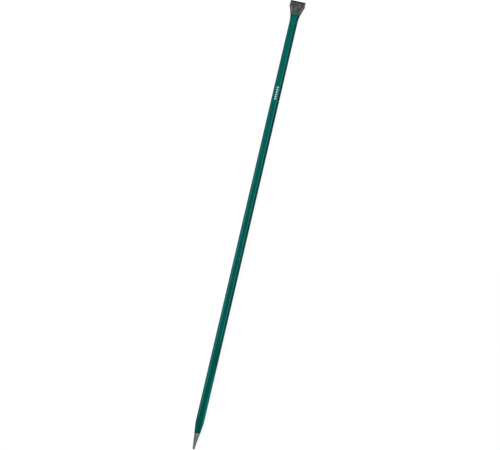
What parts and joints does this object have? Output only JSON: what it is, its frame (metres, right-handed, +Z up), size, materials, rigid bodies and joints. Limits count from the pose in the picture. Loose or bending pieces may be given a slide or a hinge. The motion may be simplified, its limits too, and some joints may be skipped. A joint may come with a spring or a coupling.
{
  "type": "crowbar",
  "caption": "Long straight hexagonal steel crowbar with a flared chisel blade at one end, a four-sided point at the other and a painted shaft between the bare ends.",
  "frame": {"origin": "under the middle of the bar's length, on the flat of the hexagon that it lies on", "axes": "+X along the bar towards the chisel blade, -X towards the point, +Y across the blade's width, +Z up out of the upper flat, which runs into the blade's upper face"},
  "size_m": [1.5, 0.0516, 0.024],
  "materials": {
    "forged_steel": "satin",
    "green_paint": "satin"
  },
  "bodies": {
    "root": {"chisel_blade": "forged_steel", "hex_shaft": "forged_steel", "point": "forged_steel", "blade_coat": "green_paint", "shaft_coat": "green_paint", "point_coat": "green_paint"}
  },
  "joints": []
}
